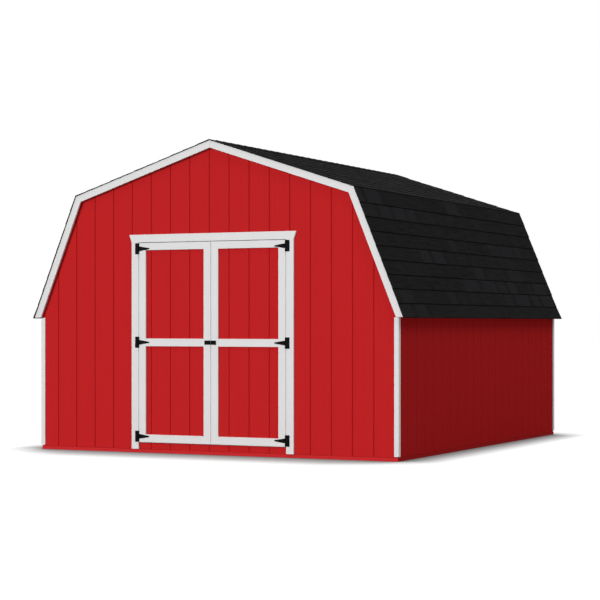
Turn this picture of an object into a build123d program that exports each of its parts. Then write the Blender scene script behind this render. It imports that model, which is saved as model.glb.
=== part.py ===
from build123d import *
import math
import os

# Gambrel storage shed, twelve feet wide and fourteen feet deep, with a pair of side-hung doors.
# Millimetres. The origin is on the ground at the middle of the footprint.
# X runs across the doors, Y from the door end to the back, Z up.

# Overall plan, to the outside of the siding
shed_width = 3657.6
shed_depth = 4267.2

# Sheet goods
siding_thick = 11.0
floor_thick = 16.0
roof_deck_thick = 11.0
gusset_thick = 11.0
groove_pitch = 203.2
groove_width = 9.5
groove_depth = 3.0
front_groove_shift = -23.0
side_groove_shift = 211.0

# Lumber
stud_thick = 38.0
stud_depth = 89.0
floor_joist_depth = 64.0
frame_pitch = 406.4

# Foot of the walls
base_board_height = 30.0
base_board_proud = 3.0
siding_seam = 2.0

# Gambrel roof, to the top of the roof boards
eave_height = 1247.0
eave_overhang = 64.0
steep_run = 465.7
steep_rise = 1133.0
ridge_rise = 465.0
eave_strip_thick = 9.0

# Roof trim at the gable ends
fascia_width = 63.0
fascia_thick = 19.0
fascia_drop = 2.0
blocking_thick = 21.0
blocking_width = 38.0
joint_gap = 1.0

# Shingles: each course is thick at its lower edge and thin where the next one covers it
shingle_exposure = 136.0
shingle_butt = 13.0
shingle_head = 8.0
starter_butt = 18.0
verge_lip = 8.0
shingle_drip = 10.0
knuckle_lap = 9.0
ridge_cap_leg = 125.0
ridge_cap_thick = 5.0

# Gusset plates at the bends of each inner truss
knuckle_gusset_arm = 170.0
ridge_gusset_arm = 250.0

# Corner trim
corner_trim_leg = 32.0
corner_trim_thick = 10.0
corner_trim_lift = 11.0
corner_trim_gap = 2.0

# Doorway and doors
door_gap = 6.0
hinge_axis_half = 758.0
door_height = 1834.5
threshold_thick = 10.5
door_trim_thick = 16.0
stile_width = 71.0
top_rail_height = 66.0
bottom_rail_height = 71.5
mid_rail_middle = 1016.0
mid_rail_height = 70.0
door_frame_width = 64.0
door_frame_thick = 38.0
door_frame_setback = 12.0

# Casing round the doorway
casing_width = 73.0
casing_lift = 3.0
header_trim_height = 71.0
header_trim_flare = 26.0
header_beam_height = 89.0

# Tee hinges
hinge_end_inset = 52.5
hinge_plate_height = 102.0
hinge_plate_reach = 37.0
hinge_metal = 3.0
barrel_radius = 5.5
pin_radius = 2.5
pin_clearance = 0.15
knuckle_gap = 0.5
strap_root_height = 46.0
strap_reach = 113.0
strap_tip_radius = 6.0

# Door pulls, one on each side of the meeting line
latch_height = 38.0
latch_plate_thick = 3.0
latch_reach_left = 64.0
latch_reach_right = 55.0
latch_eye_radius = 12.0
latch_eye_bore = 6.0
latch_eye_thick = 5.0

# Worked out from the sizes above
side_face = shed_width / 2
end_face = shed_depth / 2
side_frame_face = side_face - siding_thick
end_frame_face = end_face - siding_thick
eave_half = side_face + eave_overhang
knuckle_half = eave_half - steep_run
knuckle_height = eave_height + steep_rise
ridge_height = knuckle_height + ridge_rise
plate_top = eave_height + eave_strip_thick
fascia_foot = eave_height - fascia_drop
corner_trim_foot = base_board_height + corner_trim_lift
corner_trim_head = fascia_foot - corner_trim_gap
floor_top = floor_joist_depth + floor_thick
siding_foot = base_board_height + siding_seam
bay_depth = 2 * (end_frame_face - stud_depth)
roof_half = end_face + blocking_thick
fascia_face = roof_half + fascia_thick
verge_half = fascia_face + verge_lip
door_edge = hinge_axis_half - door_gap / 2
opening_half = hinge_axis_half + door_gap / 2
sill_top = floor_top + threshold_thick
door_foot = sill_top + door_gap
door_head = door_foot + door_height
opening_head = door_head + door_gap
mid_rail_foot = mid_rail_middle - mid_rail_height / 2
mid_rail_head = mid_rail_middle + mid_rail_height / 2
hinge_heights = (door_foot + hinge_end_inset, mid_rail_middle, door_head - hinge_end_inset)
casing_foot = base_board_height + casing_lift
casing_edge = opening_half + casing_width
trim_face = end_face + door_trim_thick
hinge_axis_y = -(trim_face + barrel_radius + knuckle_gap)

os.makedirs("parts", exist_ok=True)


def save(piece, name):
    piece.part.label = name
    export_step(piece.part, f"parts/{name}.step")


def upright(y):
    """Vertical plane at depth y, seen from the door end. Positive extrusion runs to the front."""
    return Plane.XZ.offset(-y)


# Roof geometry: two pitches, each with its direction up the slope and its outward normal
steep_length = math.hypot(steep_run, steep_rise)
steep_dir = (-steep_run / steep_length, steep_rise / steep_length)
steep_out = (steep_dir[1], -steep_dir[0])
shallow_length = math.hypot(knuckle_half, ridge_rise)
shallow_dir = (-knuckle_half / shallow_length, ridge_rise / shallow_length)
shallow_out = (shallow_dir[1], -shallow_dir[0])


def knuckle_at(depth):
    """The bend between the two pitches on a line that runs depth below the roof boards' top."""
    cosine = steep_out[0] * shallow_out[0] + steep_out[1] * shallow_out[1]
    reach = depth / (1 + cosine)
    x = knuckle_half - reach * (steep_out[0] + shallow_out[0])
    z = knuckle_height - reach * (steep_out[1] + shallow_out[1])
    return (x, z)


def ridge_at(depth):
    return (0, ridge_height - depth / shallow_out[1])


def lower_at(depth, z):
    """The point at height z on a line that runs depth below the steep pitch."""
    x = eave_half - depth / steep_out[0] - (z - eave_height) * steep_run / steep_rise
    return (x, z)


def steep_point(along, proud):
    """A point along the steep pitch from the eave, standing proud of the roof boards."""
    foot = lower_at(0, eave_height - shingle_drip)
    x = foot[0] + along * steep_dir[0] + proud * steep_out[0]
    z = foot[1] + along * steep_dir[1] + proud * steep_out[1]
    return (x, z)


def shallow_point(along, proud):
    """A point along the shallow pitch from the knuckle, standing proud of the roof boards."""
    x = knuckle_half + along * shallow_dir[0] + proud * shallow_out[0]
    z = knuckle_height + along * shallow_dir[1] + proud * shallow_out[1]
    return (x, z)


def mirrored(points, side):
    return [(side * x, z) for x, z in points]


def steep_band(inner, outer, foot):
    return [lower_at(outer, foot), knuckle_at(outer), knuckle_at(inner), lower_at(inner, foot)]


def shallow_band(inner, outer):
    return [knuckle_at(outer), ridge_at(outer), ridge_at(inner), knuckle_at(inner)]


def gable_outline(foot):
    """The end wall under the roof boards, as wide as the siding."""
    slope_x = (side_face, eave_height + (lower_at(roof_deck_thick, eave_height)[0] - side_face)
               * steep_rise / steep_run)
    right = [(side_face, foot), slope_x, knuckle_at(roof_deck_thick), ridge_at(roof_deck_thick)]
    left = [(-x, z) for x, z in reversed(right[:-1])]
    return right + left


def truss_underside(foot):
    """The space below the rafters, down to height foot."""
    depth = roof_deck_thick + stud_depth
    right = [lower_at(depth, foot), knuckle_at(depth), ridge_at(depth)]
    return right + [(-x, z) for x, z in reversed(right[:-1])]


def truss_places():
    """Depths of the trusses' middles, evenly spaced at no more than the framing pitch."""
    first = -end_frame_face + stud_thick / 2
    bays = math.ceil(-2 * first / frame_pitch)
    return [first - 2 * first * i / bays for i in range(bays + 1)]


def even_places(low, high):
    """Middles of studs from low to high, evenly spaced at no more than the framing pitch."""
    bays = max(1, math.ceil((high - low) / frame_pitch))
    return [low + (high - low) * i / bays for i in range(bays + 1)]


def front_groove_places(low, high):
    first = math.ceil((low - front_groove_shift) / groove_pitch)
    last = math.floor((high - front_groove_shift) / groove_pitch)
    return [front_groove_shift + groove_pitch * i for i in range(first, last + 1)]


def side_groove_places():
    """Depths of the grooves down the long walls, counted from the door end."""
    count = math.floor((shed_depth - side_groove_shift) / groove_pitch) + 1
    return [-end_face + side_groove_shift + groove_pitch * i for i in range(count)]


def groove_front(face_y, low, high):
    """Cuts the upright grooves of grooved siding into a face that stands at face_y."""
    for x in front_groove_places(low + groove_width, high - groove_width):
        with Locations((x, face_y, ridge_height / 2)):
            Box(groove_width, 2 * groove_depth, 2 * ridge_height, mode=Mode.SUBTRACT)


def groove_side(face_x):
    for y in side_groove_places():
        if abs(y) < end_frame_face - groove_width:
            with Locations((face_x, y, ridge_height / 2)):
                Box(2 * groove_depth, groove_width, 2 * ridge_height, mode=Mode.SUBTRACT)


# Floor frame: two long rims, with joists across the shed between them
with BuildPart() as floor_frame:
    with BuildSketch():
        Rectangle(2 * side_frame_face, 2 * end_frame_face)
        joist_bays = math.ceil((2 * end_frame_face - stud_thick) / frame_pitch)
        bay_pitch = (2 * end_frame_face - stud_thick) / joist_bays
        with GridLocations(0, bay_pitch, 1, joist_bays):
            Rectangle(2 * (side_frame_face - stud_thick), bay_pitch - stud_thick, mode=Mode.SUBTRACT)
    extrude(amount=floor_joist_depth)
save(floor_frame, "floor_frame")

with BuildPart() as floor_deck:
    with BuildSketch(Plane.XY.offset(floor_joist_depth)):
        Rectangle(2 * side_frame_face, 2 * end_frame_face)
    extrude(amount=floor_thick)
save(floor_deck, "floor_deck")

# Threshold across the doorway, as deep as the wall frame
with BuildPart() as door_threshold:
    with BuildSketch(Plane.XY.offset(floor_top)):
        with Locations((0, -end_frame_face + stud_depth / 2)):
            Rectangle(2 * opening_half, stud_depth)
    extrude(amount=sill_top - floor_top)
save(door_threshold, "door_threshold")

# Base boards round the foot of the walls, a little proud of the siding
base_thick = siding_thick + base_board_proud
with BuildPart() as base_boards:
    with BuildSketch():
        with Locations((0, end_frame_face + base_thick / 2), (0, -end_frame_face - base_thick / 2)):
            Rectangle(2 * (side_frame_face + base_thick), base_thick)
        with Locations((side_frame_face + base_thick / 2, 0), (-side_frame_face - base_thick / 2, 0)):
            Rectangle(base_thick, 2 * (end_frame_face - joint_gap))
    extrude(amount=base_board_height)
save(base_boards, "base_boards")

# Front wall: siding beside the doorway, over it and under it
for side, name in ((-1, "front_wall_left"), (1, "front_wall_right")):
    with BuildPart() as front_wall_side:
        with BuildSketch(upright(-end_frame_face)):
            Polygon(*gable_outline(siding_foot), align=None)
            with Locations((side * (opening_half + side_face) / 2, ridge_height / 2)):
                Rectangle(side_face - opening_half, 2 * ridge_height, mode=Mode.INTERSECT)
        extrude(amount=siding_thick)
        low, high = sorted((side * opening_half, side * side_face))
        groove_front(-end_face, low, high)
    save(front_wall_side, name)

with BuildPart() as front_wall_gable:
    with BuildSketch(upright(-end_frame_face)):
        Polygon(*gable_outline(opening_head), align=None)
        with Locations((0, ridge_height / 2)):
            Rectangle(2 * opening_half, 2 * ridge_height, mode=Mode.INTERSECT)
    extrude(amount=siding_thick)
    groove_front(-end_face, -opening_half, opening_half)
save(front_wall_gable, "front_wall_gable")

with BuildPart() as front_wall_sill:
    with BuildSketch(upright(-end_frame_face)):
        with Locations((0, (siding_foot + sill_top) / 2)):
            Rectangle(2 * opening_half, sill_top - siding_foot)
    extrude(amount=siding_thick)
    groove_front(-end_face, -opening_half, opening_half)
save(front_wall_sill, "front_wall_sill")

# Back wall: one grooved face up to the roof
with BuildPart() as back_wall:
    with BuildSketch(upright(end_face)):
        Polygon(*gable_outline(siding_foot), align=None)
    extrude(amount=siding_thick)
    groove_front(end_face, -side_face, side_face)
save(back_wall, "back_wall")

# Long walls between the end walls
for side, name in ((-1, "left_wall"), (1, "right_wall")):
    with BuildPart() as long_wall:
        with Locations((side * (side_face - siding_thick / 2), 0, (siding_foot + plate_top) / 2)):
            Box(siding_thick, 2 * end_frame_face, plate_top - siding_foot)
        groove_side(side * side_face)
    save(long_wall, name)

# Stud frames of the end walls, cut off under the end rafters
corner_stud = side_frame_face - stud_thick / 2
jack_stud = opening_half + stud_thick / 2
king_stud = jack_stud + stud_thick

for side, name in ((-1, "front_frame_left"), (1, "front_frame_right")):
    with BuildPart() as front_frame_side:
        with BuildSketch(upright(-end_frame_face + stud_depth)):
            with Locations((side * (opening_half + side_frame_face) / 2, floor_top + stud_thick / 2)):
                Rectangle(side_frame_face - opening_half, stud_thick)
            for x in even_places(king_stud, corner_stud)[:-1]:
                with Locations((side * x, ridge_height / 2)):
                    Rectangle(stud_thick, ridge_height - 2 * floor_top)
            Polygon(*truss_underside(floor_top), align=None, mode=Mode.INTERSECT)
            with Locations((side * corner_stud, (floor_top + plate_top) / 2)):
                Rectangle(stud_thick, plate_top - floor_top)
            with Locations((side * jack_stud, (floor_top + opening_head) / 2)):
                Rectangle(stud_thick, opening_head - floor_top)
        extrude(amount=stud_depth)
    save(front_frame_side, name)

# Header beam over the doorway, with short studs up to the rafters
header_top = opening_head + header_beam_height
header_half = opening_half + stud_thick
header_depth = 2 * stud_thick
with BuildPart() as front_frame_gable:
    with BuildSketch(upright(-end_frame_face + header_depth)):
        with Locations((0, opening_head + header_beam_height / 2)):
            Rectangle(2 * header_half, header_beam_height)
        for x in even_places(-header_half, header_half)[1:-1]:
            with Locations((x, (header_top + ridge_height) / 2)):
                Rectangle(stud_thick, ridge_height - header_top)
        Polygon(*truss_underside(opening_head), align=None, mode=Mode.INTERSECT)
    extrude(amount=header_depth)
save(front_frame_gable, "front_frame_gable")

with BuildPart() as back_frame:
    with BuildSketch(upright(end_frame_face)):
        with Locations((0, ridge_height / 2)):
            for x in even_places(-corner_stud, corner_stud)[1:-1]:
                with Locations((x, 0)):
                    Rectangle(stud_thick, ridge_height - 2 * floor_top)
        Polygon(*truss_underside(floor_top), align=None, mode=Mode.INTERSECT)
        with Locations((0, floor_top + stud_thick / 2)):
            Rectangle(2 * side_frame_face, stud_thick)
        for x in (-corner_stud, corner_stud):
            with Locations((x, (floor_top + plate_top) / 2)):
                Rectangle(stud_thick, plate_top - floor_top)
    extrude(amount=stud_depth)
save(back_frame, "back_frame")

# Stud frames of the long walls, with bottom and top plates
for side, name in ((-1, "left_wall_frame"), (1, "right_wall_frame")):
    inner_x = min(side * side_frame_face, side * (side_frame_face - stud_depth))
    with BuildPart() as long_frame:
        with BuildSketch(Plane.YZ.offset(inner_x)):
            for z in (floor_top + stud_thick / 2, plate_top - stud_thick / 2):
                with Locations((0, z)):
                    Rectangle(bay_depth, stud_thick)
            last_stud = bay_depth / 2 - stud_thick / 2
            for y in even_places(-last_stud, last_stud):
                with Locations((y, (floor_top + plate_top) / 2)):
                    Rectangle(stud_thick, plate_top - floor_top)
        extrude(amount=stud_depth)
    save(long_frame, name)

# Rafters: four rows, one under each roof slope
rafter_inner = roof_deck_thick + stud_depth
rafter_outlines = {
    "lower": steep_band(rafter_inner, roof_deck_thick, plate_top),
    "upper": shallow_band(rafter_inner, roof_deck_thick),
}
for side, hand in ((-1, "left"), (1, "right")):
    for level, outline in rafter_outlines.items():
        with BuildPart() as rafters:
            for y in truss_places():
                with BuildSketch(upright(y + stud_thick / 2)):
                    Polygon(*mirrored(outline, side), align=None)
            extrude(amount=stud_thick)
        save(rafters, f"rafters_{level}_{hand}")

# Plywood gussets on the inner trusses: the end ones are held by the siding
steep_arm = (steep_dir[0] * knuckle_gusset_arm, steep_dir[1] * knuckle_gusset_arm)
shallow_arm = (shallow_dir[0] * knuckle_gusset_arm, shallow_dir[1] * knuckle_gusset_arm)
outer_bend = knuckle_at(roof_deck_thick)
inner_bend = knuckle_at(rafter_inner)
knuckle_gusset_outline = [
    (outer_bend[0] - steep_arm[0], outer_bend[1] - steep_arm[1]),
    outer_bend,
    (outer_bend[0] + shallow_arm[0], outer_bend[1] + shallow_arm[1]),
    (inner_bend[0] + shallow_arm[0], inner_bend[1] + shallow_arm[1]),
    (inner_bend[0] - steep_arm[0], inner_bend[1] - steep_arm[1]),
]
for side, name in ((-1, "knuckle_gussets_left"), (1, "knuckle_gussets_right")):
    with BuildPart() as knuckle_gussets:
        for y in truss_places()[1:-1]:
            with BuildSketch(upright(y + stud_thick / 2 + gusset_thick)):
                Polygon(*mirrored(knuckle_gusset_outline, side), align=None)
        extrude(amount=gusset_thick)
    save(knuckle_gussets, name)

ridge_fall = (-shallow_dir[0] * ridge_gusset_arm, -shallow_dir[1] * ridge_gusset_arm)
ridge_outer = ridge_at(roof_deck_thick)
ridge_inner = ridge_at(rafter_inner)
ridge_gusset_outline = [
    (ridge_fall[0], ridge_outer[1] + ridge_fall[1]),
    ridge_outer,
    (-ridge_fall[0], ridge_outer[1] + ridge_fall[1]),
    (-ridge_fall[0], ridge_inner[1] + ridge_fall[1]),
    (ridge_fall[0], ridge_inner[1] + ridge_fall[1]),
]
with BuildPart() as ridge_gussets:
    for y in truss_places()[1:-1]:
        with BuildSketch(upright(y + stud_thick / 2 + gusset_thick)):
            Polygon(*ridge_gusset_outline, align=None)
    extrude(amount=gusset_thick)
save(ridge_gussets, "ridge_gussets")

# Roof boards on the rafters, out over the gable blocking
deck_outlines = {
    "lower": steep_band(roof_deck_thick, 0, eave_height),
    "upper": shallow_band(roof_deck_thick, 0),
}
for side, hand in ((-1, "left"), (1, "right")):
    for level, outline in deck_outlines.items():
        with BuildPart() as roof_deck:
            with BuildSketch(upright(roof_half)):
                Polygon(*mirrored(outline, side), align=None)
            extrude(amount=2 * roof_half)
        save(roof_deck, f"roof_deck_{level}_{hand}")


def shingle_outline():
    """Right half of the roof covering, stepped at the lower edge of every course."""
    covered = steep_length + shingle_drip * steep_length / steep_rise
    steep_courses = math.floor(covered / shingle_exposure)
    shallow_courses = math.ceil((shallow_length - ridge_cap_leg) / shingle_exposure)
    points = [steep_point(0, 0), steep_point(0, starter_butt)]
    for course in range(1, steep_courses + 1):
        along = course * shingle_exposure
        points.append(steep_point(along, shingle_head))
        points.append(steep_point(along, shingle_butt))
    points.append(knuckle_at(-shingle_head))
    points.append(shallow_point(-knuckle_lap, shingle_head))
    points.append(shallow_point(-knuckle_lap, shingle_butt))
    for course in range(1, shallow_courses):
        along = course * shingle_exposure - knuckle_lap
        points.append(shallow_point(along, shingle_head))
        points.append(shallow_point(along, shingle_butt))
    points.append(shallow_point(shallow_length - ridge_cap_leg, shingle_head))
    points.append(ridge_at(-shingle_head))
    points.append(ridge_at(0))
    points.append(knuckle_at(0))
    return points


for side, name in ((-1, "shingles_left"), (1, "shingles_right")):
    with BuildPart() as shingles:
        with BuildSketch(upright(verge_half)):
            Polygon(*mirrored(shingle_outline(), side), align=None)
        extrude(amount=2 * verge_half)
    save(shingles, name)

# Ridge cap, bent over the ridge
cap_under = shallow_point(shallow_length - ridge_cap_leg, shingle_head)
cap_over = shallow_point(shallow_length - ridge_cap_leg, shingle_head + ridge_cap_thick)
cap_outline = [cap_under, cap_over, ridge_at(-shingle_head - ridge_cap_thick)]
cap_outline += [(-cap_over[0], cap_over[1]), (-cap_under[0], cap_under[1]), ridge_at(-shingle_head)]
with BuildPart() as ridge_cap:
    with BuildSketch(upright(verge_half)):
        Polygon(*cap_outline, align=None)
    extrude(amount=2 * verge_half)
save(ridge_cap, "ridge_cap")

# Strips that close the eaves between the long walls and the roof boards
strip_outline = [
    (side_face, eave_height),
    lower_at(roof_deck_thick, eave_height),
    lower_at(roof_deck_thick, plate_top),
    (side_face, plate_top),
]
with BuildPart() as eave_strips:
    with BuildSketch(upright(end_face)):
        for side in (-1, 1):
            Polygon(*mirrored(strip_outline, side), align=None)
    extrude(amount=shed_depth)
save(eave_strips, "eave_strips")

# White fascia on the gable ends: two steep boards and two shallow ones, mitred at the bends
fascia_outlines = {
    "lower": steep_band(fascia_width, 0, fascia_foot),
    "upper": shallow_band(fascia_width, 0),
}
for end, back_y in (("front", -roof_half), ("back", fascia_face)):
    for level, outline in fascia_outlines.items():
        with BuildPart() as fascia:
            with BuildSketch(upright(back_y)):
                for side in (-1, 1):
                    Polygon(*mirrored(outline, side), align=None)
                with Locations((0, ridge_height)):
                    Rectangle(joint_gap, ridge_height, mode=Mode.SUBTRACT)
            extrude(amount=fascia_thick)
        save(fascia, f"{end}_fascia_{level}")

# Blocking that stands the fascia off the siding
blocking_inner = roof_deck_thick + blocking_width
steep_blocking = steep_band(blocking_inner, roof_deck_thick, eave_height)
shallow_blocking = shallow_band(blocking_inner, roof_deck_thick)
for end, back_y in (("front", -end_face), ("back", roof_half)):
    with BuildPart() as rake_blocking:
        with BuildSketch(upright(back_y)):
            for side in (-1, 1):
                Polygon(*mirrored(shallow_blocking, side), align=None)
            with Locations((0, ridge_height)):
                Rectangle(joint_gap, ridge_height, mode=Mode.SUBTRACT)
            bend = knuckle_at(blocking_inner)
            for side in (-1, 1):
                Polygon(*mirrored(steep_blocking, side), align=None)
                with Locations((side * (bend[0] + knuckle_half) / 2, (bend[1] + knuckle_height) / 2)):
                    turn = math.degrees(math.atan2(knuckle_height - bend[1], knuckle_half - bend[0]))
                    Rectangle(2 * blocking_inner, joint_gap, rotation=side * turn, mode=Mode.SUBTRACT)
        extrude(amount=blocking_thick)
    save(rake_blocking, f"{end}_rake_blocking")

# Corner trim, folded round each corner of the walls
for end, direction in (("front", -1), ("back", 1)):
    with BuildPart() as corner_trims:
        with BuildSketch(Plane.XY.offset(corner_trim_foot)):
            for side in (-1, 1):
                leg_x = side_face - (corner_trim_leg - corner_trim_thick) / 2
                leg_y = end_face - (corner_trim_leg - corner_trim_thick) / 2
                with Locations((side * leg_x, direction * (end_face + corner_trim_thick / 2))):
                    Rectangle(corner_trim_leg + corner_trim_thick, corner_trim_thick)
                with Locations((side * (side_face + corner_trim_thick / 2), direction * leg_y)):
                    Rectangle(corner_trim_thick, corner_trim_leg + corner_trim_thick)
        extrude(amount=corner_trim_head - corner_trim_foot)
    save(corner_trims, f"{end}_corner_trims")

# Casing beside the doorway and the header trim over it
with BuildPart() as door_casings:
    with BuildSketch(upright(-end_face)):
        for side in (-1, 1):
            with Locations((side * (opening_half + casing_width / 2), (casing_foot + opening_head) / 2)):
                Rectangle(casing_width, opening_head - casing_foot)
    extrude(amount=door_trim_thick)
save(door_casings, "door_casings")

with BuildPart() as door_header_trim:
    with BuildSketch(upright(-end_face)):
        Polygon(
            (-casing_edge, opening_head),
            (casing_edge, opening_head),
            (casing_edge + header_trim_flare, opening_head + header_trim_height),
            (-casing_edge - header_trim_flare, opening_head + header_trim_height),
            align=None,
        )
    extrude(amount=door_trim_thick)
save(door_header_trim, "door_header_trim")

# Fixed halves of the tee hinges: plate on the casing, end knuckles and the pin
fixed_knuckle = (hinge_plate_height - strap_root_height) / 2 - knuckle_gap
with BuildPart() as hinge_plates:
    for side in (-1, 1):
        for height in hinge_heights:
            plate_low = barrel_radius + knuckle_gap
            with BuildSketch(upright(-trim_face)):
                with Locations((side * (hinge_axis_half + (plate_low + hinge_plate_reach) / 2), height)):
                    Rectangle(hinge_plate_reach - plate_low, hinge_plate_height)
                for end in (-1, 1):
                    knuckle_z = height + end * (hinge_plate_height - fixed_knuckle) / 2
                    with Locations((side * (hinge_axis_half + hinge_plate_reach / 2), knuckle_z)):
                        Rectangle(hinge_plate_reach - knuckle_gap, fixed_knuckle)
            extrude(amount=hinge_metal)
            axis_x = side * hinge_axis_half
            for end in (-1, 1):
                knuckle_z = height + end * (hinge_plate_height - fixed_knuckle) / 2
                with Locations((axis_x, hinge_axis_y, knuckle_z)):
                    Cylinder(barrel_radius, fixed_knuckle)
            with Locations((axis_x, hinge_axis_y, height)):
                Cylinder(pin_radius, hinge_plate_height)
save(hinge_plates, "hinge_plates")


def leaf_x(side, low, high):
    """Middle and width of a stretch of a door leaf, measured from the meeting line."""
    return side * (low + high) / 2, high - low


# Door leaves: grooved panel, white face boards, inner frame, hinge straps and pull
meeting_edge = door_gap / 2
door_mid = (door_foot + door_head) / 2
inner_stile = meeting_edge + stile_width
outer_stile = door_edge - stile_width
rail_bands = (
    (door_foot, door_foot + bottom_rail_height),
    (mid_rail_foot, mid_rail_head),
    (door_head - top_rail_height, door_head),
)
frame_low = meeting_edge + door_frame_setback
latch_reaches = {-1: latch_reach_left, 1: latch_reach_right}

for side, hand in ((-1, "left"), (1, "right")):
    with BuildPart() as door_panel:
        with BuildSketch(upright(-end_frame_face)):
            middle, width = leaf_x(side, meeting_edge, door_edge)
            with Locations((middle, door_mid)):
                Rectangle(width, door_height)
        extrude(amount=siding_thick)
        low, high = sorted((side * meeting_edge, side * door_edge))
        groove_front(-end_face, low, high)
    save(door_panel, f"door_{hand}_panel")

    with BuildPart() as door_stiles:
        with BuildSketch(upright(-end_face)):
            for low, high in ((meeting_edge, inner_stile), (outer_stile, door_edge)):
                middle, width = leaf_x(side, low, high)
                with Locations((middle, door_mid)):
                    Rectangle(width, door_height)
        extrude(amount=door_trim_thick)
    save(door_stiles, f"door_{hand}_stiles")

    with BuildPart() as door_rails:
        with BuildSketch(upright(-end_face)):
            middle, width = leaf_x(side, inner_stile, outer_stile)
            for foot, head in rail_bands:
                with Locations((middle, (foot + head) / 2)):
                    Rectangle(width, head - foot)
        extrude(amount=door_trim_thick)
    save(door_rails, f"door_{hand}_rails")

    # Inner frame with a diagonal brace in each half
    with BuildPart() as door_frame:
        with BuildSketch(upright(-end_frame_face + door_frame_thick)):
            middle, width = leaf_x(side, frame_low, door_edge)
            clear_width = width - 2 * door_frame_width
            clear_height = door_height - 2 * door_frame_width
            with Locations((middle, door_mid)):
                Rectangle(width, door_height)
                Rectangle(clear_width, clear_height, mode=Mode.SUBTRACT)
            with Locations((middle, mid_rail_middle)):
                Rectangle(width, door_frame_width)
            brace_bays = (
                (door_foot + door_frame_width, mid_rail_middle - door_frame_width / 2),
                (mid_rail_middle + door_frame_width / 2, door_head - door_frame_width),
            )
            for foot, head in brace_bays:
                slope = math.degrees(math.atan2(head - foot, clear_width))
                length = math.hypot(head - foot, clear_width)
                with Locations((middle, (foot + head) / 2)):
                    Rectangle(length, door_frame_width, rotation=side * slope)
        extrude(amount=door_frame_thick)
    save(door_frame, f"door_{hand}_frame")

    # Moving halves of the tee hinges: tapered strap with its knuckle round the pin
    with BuildPart() as hinge_straps:
        for height in hinge_heights:
            root_x = hinge_axis_half - knuckle_gap
            tip_x = hinge_axis_half - strap_reach + strap_tip_radius
            with BuildSketch(upright(-trim_face)):
                Polygon(
                    (side * root_x, height - strap_root_height / 2),
                    (side * root_x, height + strap_root_height / 2),
                    (side * tip_x, height + strap_tip_radius),
                    (side * tip_x, height - strap_tip_radius),
                    align=None,
                )
                with Locations((side * tip_x, height)):
                    Circle(strap_tip_radius)
            extrude(amount=hinge_metal)
            with Locations((side * hinge_axis_half, hinge_axis_y, height)):
                Cylinder(barrel_radius, strap_root_height)
                Cylinder(pin_radius + pin_clearance, strap_root_height, mode=Mode.SUBTRACT)
    save(hinge_straps, f"door_{hand}_hinge_straps")

    # Pull plate on the middle rail, with an eye that stands out near the meeting line
    with BuildPart() as door_latch:
        with BuildSketch(upright(-trim_face)):
            middle, width = leaf_x(side, meeting_edge, latch_reaches[side])
            with Locations((middle, mid_rail_middle)):
                Rectangle(width, latch_height)
        extrude(amount=latch_plate_thick)
        eye_x = side * (meeting_edge + latch_eye_thick)
        with BuildSketch(Plane.YZ.offset(eye_x - latch_eye_thick / 2)):
            with Locations((-trim_face - latch_plate_thick, mid_rail_middle)):
                Circle(latch_eye_radius)
            with Locations((-trim_face + latch_eye_radius, mid_rail_middle)):
                Rectangle(2 * latch_eye_radius, 2 * latch_eye_radius, mode=Mode.SUBTRACT)
            with Locations((-trim_face - latch_plate_thick - latch_eye_bore / 2,
                            mid_rail_middle)):
                Circle(latch_eye_bore / 2, mode=Mode.SUBTRACT)
        extrude(amount=latch_eye_thick)
    save(door_latch, f"door_{hand}_latch")
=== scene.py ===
"""Dresses the gambrel storage shed: shingles, ridge cap, nails, screws, finishes, lamps and camera.

Lengths are in metres, in the shed's own frame. The origin is on the ground at the middle of the
footprint, X runs across the doors, Y from the door end to the back, and Z up.
"""

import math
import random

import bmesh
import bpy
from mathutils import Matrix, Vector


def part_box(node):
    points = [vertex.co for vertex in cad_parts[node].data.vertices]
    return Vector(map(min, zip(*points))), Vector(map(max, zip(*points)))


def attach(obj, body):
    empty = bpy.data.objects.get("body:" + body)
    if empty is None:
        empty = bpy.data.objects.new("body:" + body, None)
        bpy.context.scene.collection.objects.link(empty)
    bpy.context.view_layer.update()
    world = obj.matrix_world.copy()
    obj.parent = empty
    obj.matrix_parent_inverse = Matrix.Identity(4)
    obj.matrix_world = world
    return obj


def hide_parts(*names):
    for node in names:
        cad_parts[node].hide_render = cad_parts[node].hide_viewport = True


bl_info = {
    "name": "Gambrel Storage Shed",
    "version": (1, 0, 0),
    "blender": (4, 5, 0),
    "location": "View3D > Sidebar > Shed",
    "description": "Roofs, fastens and paints a gambrel storage shed, and lights it for a picture",
    "category": "Object",
}

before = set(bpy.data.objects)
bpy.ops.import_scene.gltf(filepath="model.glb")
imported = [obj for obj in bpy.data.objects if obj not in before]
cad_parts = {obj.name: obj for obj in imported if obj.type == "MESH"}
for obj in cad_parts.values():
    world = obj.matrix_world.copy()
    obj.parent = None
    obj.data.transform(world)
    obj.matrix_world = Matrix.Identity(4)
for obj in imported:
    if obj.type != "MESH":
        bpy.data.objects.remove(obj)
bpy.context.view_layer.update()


def linear(hex_colour):
    """The linear red, green, blue and alpha of an sRGB colour such as BD2426."""
    shares = [int(hex_colour[i:i + 2], 16) / 255 for i in (0, 2, 4)]
    bent = [s / 12.92 if s <= 0.04045 else ((s + 0.055) / 1.055) ** 2.4 for s in shares]
    return (*bent, 1.0)


def shaded(colour, factor):
    """A colour made darker or lighter by a factor."""
    return (*[min(1.0, channel * factor) for channel in colour[:3]], 1.0)


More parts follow.
